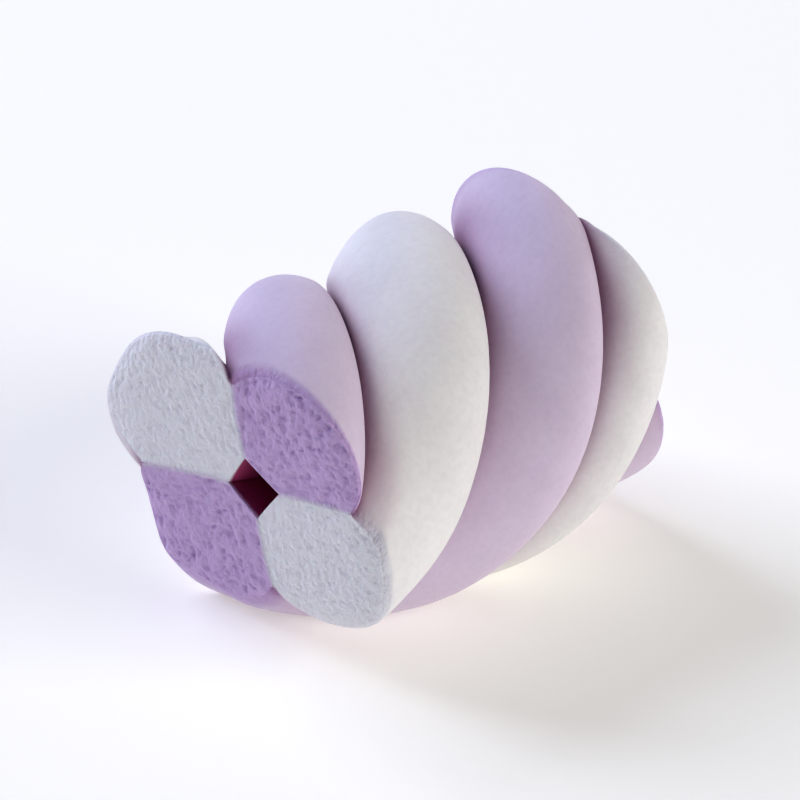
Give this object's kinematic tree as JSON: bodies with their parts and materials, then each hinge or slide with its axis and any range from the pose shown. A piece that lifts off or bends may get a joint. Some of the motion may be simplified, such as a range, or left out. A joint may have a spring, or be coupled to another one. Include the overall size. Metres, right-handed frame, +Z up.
{
  "type": "rope-twist marshmallow",
  "caption": "Rope-twist marshmallow of white and lilac strands, cut across at both ends, lying on its side.",
  "frame": {"origin": "on the surface that the sweet lies on, under the centre of its bounding box", "axes": "+X along the twist, from the near cut end to the far one; +Z up; +Y across it, so that the frame is right-handed"},
  "size_m": [0.0409, 0.0339, 0.0308],
  "materials": {
    "white_mallow": "soft white mallow foam with a dry, powdery, very matt skin and faintly pitted cut ends",
    "lilac_mallow": "soft pale lilac mallow foam with a dry, powdery, very matt skin and finely pitted, deeper lilac cut ends"
  },
  "bodies": {
    "root": {"lilac_strand_upper": "lilac_mallow", "white_strand_lower": "white_mallow", "lilac_strand_lower": "lilac_mallow", "white_strand_upper": "white_mallow"}
  },
  "joints": []
}
